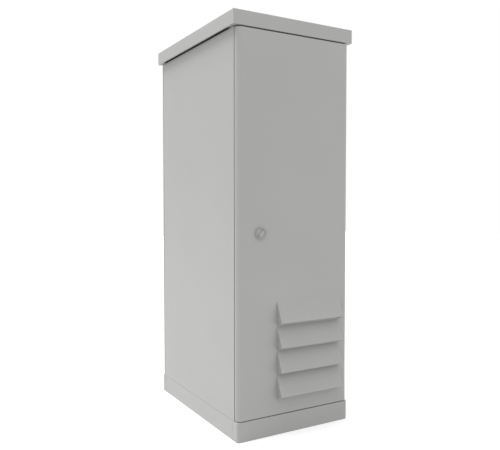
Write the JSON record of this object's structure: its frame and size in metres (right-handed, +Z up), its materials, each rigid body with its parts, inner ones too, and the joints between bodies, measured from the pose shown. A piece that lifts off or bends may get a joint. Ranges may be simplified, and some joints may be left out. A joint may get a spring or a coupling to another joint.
{
  "type": "roadside utility cabinet",
  "caption": "Free-standing outdoor equipment cabinet in grey sheet steel: louvred door with turn-knob rod lock, roof cap with slotted eaves, plinth, frame and rack rails inside.",
  "frame": {"origin": "on the ground, at the middle of the footprint of the plinth", "axes": "+Z up, the door faces -Y, +X to the right for someone who faces the door"},
  "size_m": [0.636, 0.897, 1.852],
  "materials": {
    "grey_coating": "fine-textured powder coating",
    "frame_coating": "satin powder coating",
    "zinc_plated_steel": "bright zinc plating",
    "gasket_rubber": "cellular rubber, matt",
    "seal_foam": "open-cell foam",
    "filter_fleece": "needled fleece",
    "earth_copper": "drawn copper bar",
    "black_plastic": "moulded polyamide"
  },
  "bodies": {
    "cabinet": {"plinth_front": "grey_coating", "plinth_rear": "grey_coating", "plinth_side_left": "grey_coating", "plinth_side_right": "grey_coating", "base_beam_front": "frame_coating", "base_beam_rear": "frame_coating", "base_beam_left": "frame_coating", "base_beam_right": "frame_coating", "post_front_left": "frame_coating", "post_front_right": "frame_coating", "post_rear_left": "frame_coating", "post_rear_right": "frame_coating", "top_beam_front": "frame_coating", "top_beam_rear": "frame_coating", "top_beam_left": "frame_coating", "top_beam_right": "frame_coating", "side_panel_left": "grey_coating", "side_panel_right": "grey_coating", "rear_panel": "grey_coating", "rear_gasket": "gasket_rubber", "top_plate": "zinc_plated_steel", "roof_cap": "grey_coating", "roof_eave_strips": "grey_coating", "gland_plate_front": "zinc_plated_steel", "gland_plate_rear": "zinc_plated_steel", "cable_seal": "seal_foam", "rack_rail_front_left": "zinc_plated_steel", "rack_rail_front_right": "zinc_plated_steel", "rack_rail_rear_left": "zinc_plated_steel", "rack_rail_rear_right": "zinc_plated_steel", "earth_bar": "earth_copper", "earth_spacers": "black_plastic", "keeper_top": "zinc_plated_steel", "keeper_bottom": "zinc_plated_steel", "hinge_bracket_lower": "zinc_plated_steel", "hinge_bracket_middle": "zinc_plated_steel", "hinge_bracket_upper": "zinc_plated_steel"},
    "door": {"hinge_leaf_lower": "zinc_plated_steel", "hinge_leaf_middle": "zinc_plated_steel", "hinge_leaf_upper": "zinc_plated_steel", "door_skin": "grey_coating", "door_gasket": "gasket_rubber", "door_stiffener_lower": "frame_coating", "door_stiffener_upper": "frame_coating", "louvre_hood_1": "grey_coating", "louvre_hood_2": "grey_coating", "louvre_hood_3": "grey_coating", "louvre_hood_4": "grey_coating", "filter_mat": "filter_fleece", "filter_frame": "zinc_plated_steel", "filter_nuts": "zinc_plated_steel", "hinge_pins": "zinc_plated_steel", "lock_rosette": "grey_coating", "lock_case": "zinc_plated_steel", "rod_guides": "black_plastic"},
    "knob": {"lock_knob": "grey_coating", "lock_cam": "zinc_plated_steel"},
    "upper_rod": {"lock_rod_upper": "zinc_plated_steel"},
    "lower_rod": {"lock_rod_lower": "zinc_plated_steel"}
  },
  "joints": [
    {"name": "door_hinge", "type": "hinge", "parent": "cabinet", "child": "door", "pos_m": [0.28701, -0.41702, 0], "axis": [0, 0, 1], "range_deg": [0, 120]},
    {"name": "knob_turn", "type": "hinge", "parent": "door", "child": "knob", "pos_m": [-0.185, -0.429, 0.904], "axis": [0, -1, 0], "range_deg": [0, 90]},
    {"name": "upper_rod_slide", "type": "slide", "parent": "door", "child": "upper_rod", "axis": [0, 0, 1], "range_m": [0, 0.0227]},
    {"name": "lower_rod_slide", "type": "slide", "parent": "door", "child": "lower_rod", "axis": [0, 0, -1], "range_m": [0, 0.0227]}
  ],
  "couplings": [
    {"joint": "upper_rod_slide", "follows": "knob_turn", "m_per_rad": 0.014405},
    {"joint": "lower_rod_slide", "follows": "knob_turn", "m_per_rad": 0.014405}
  ]
}
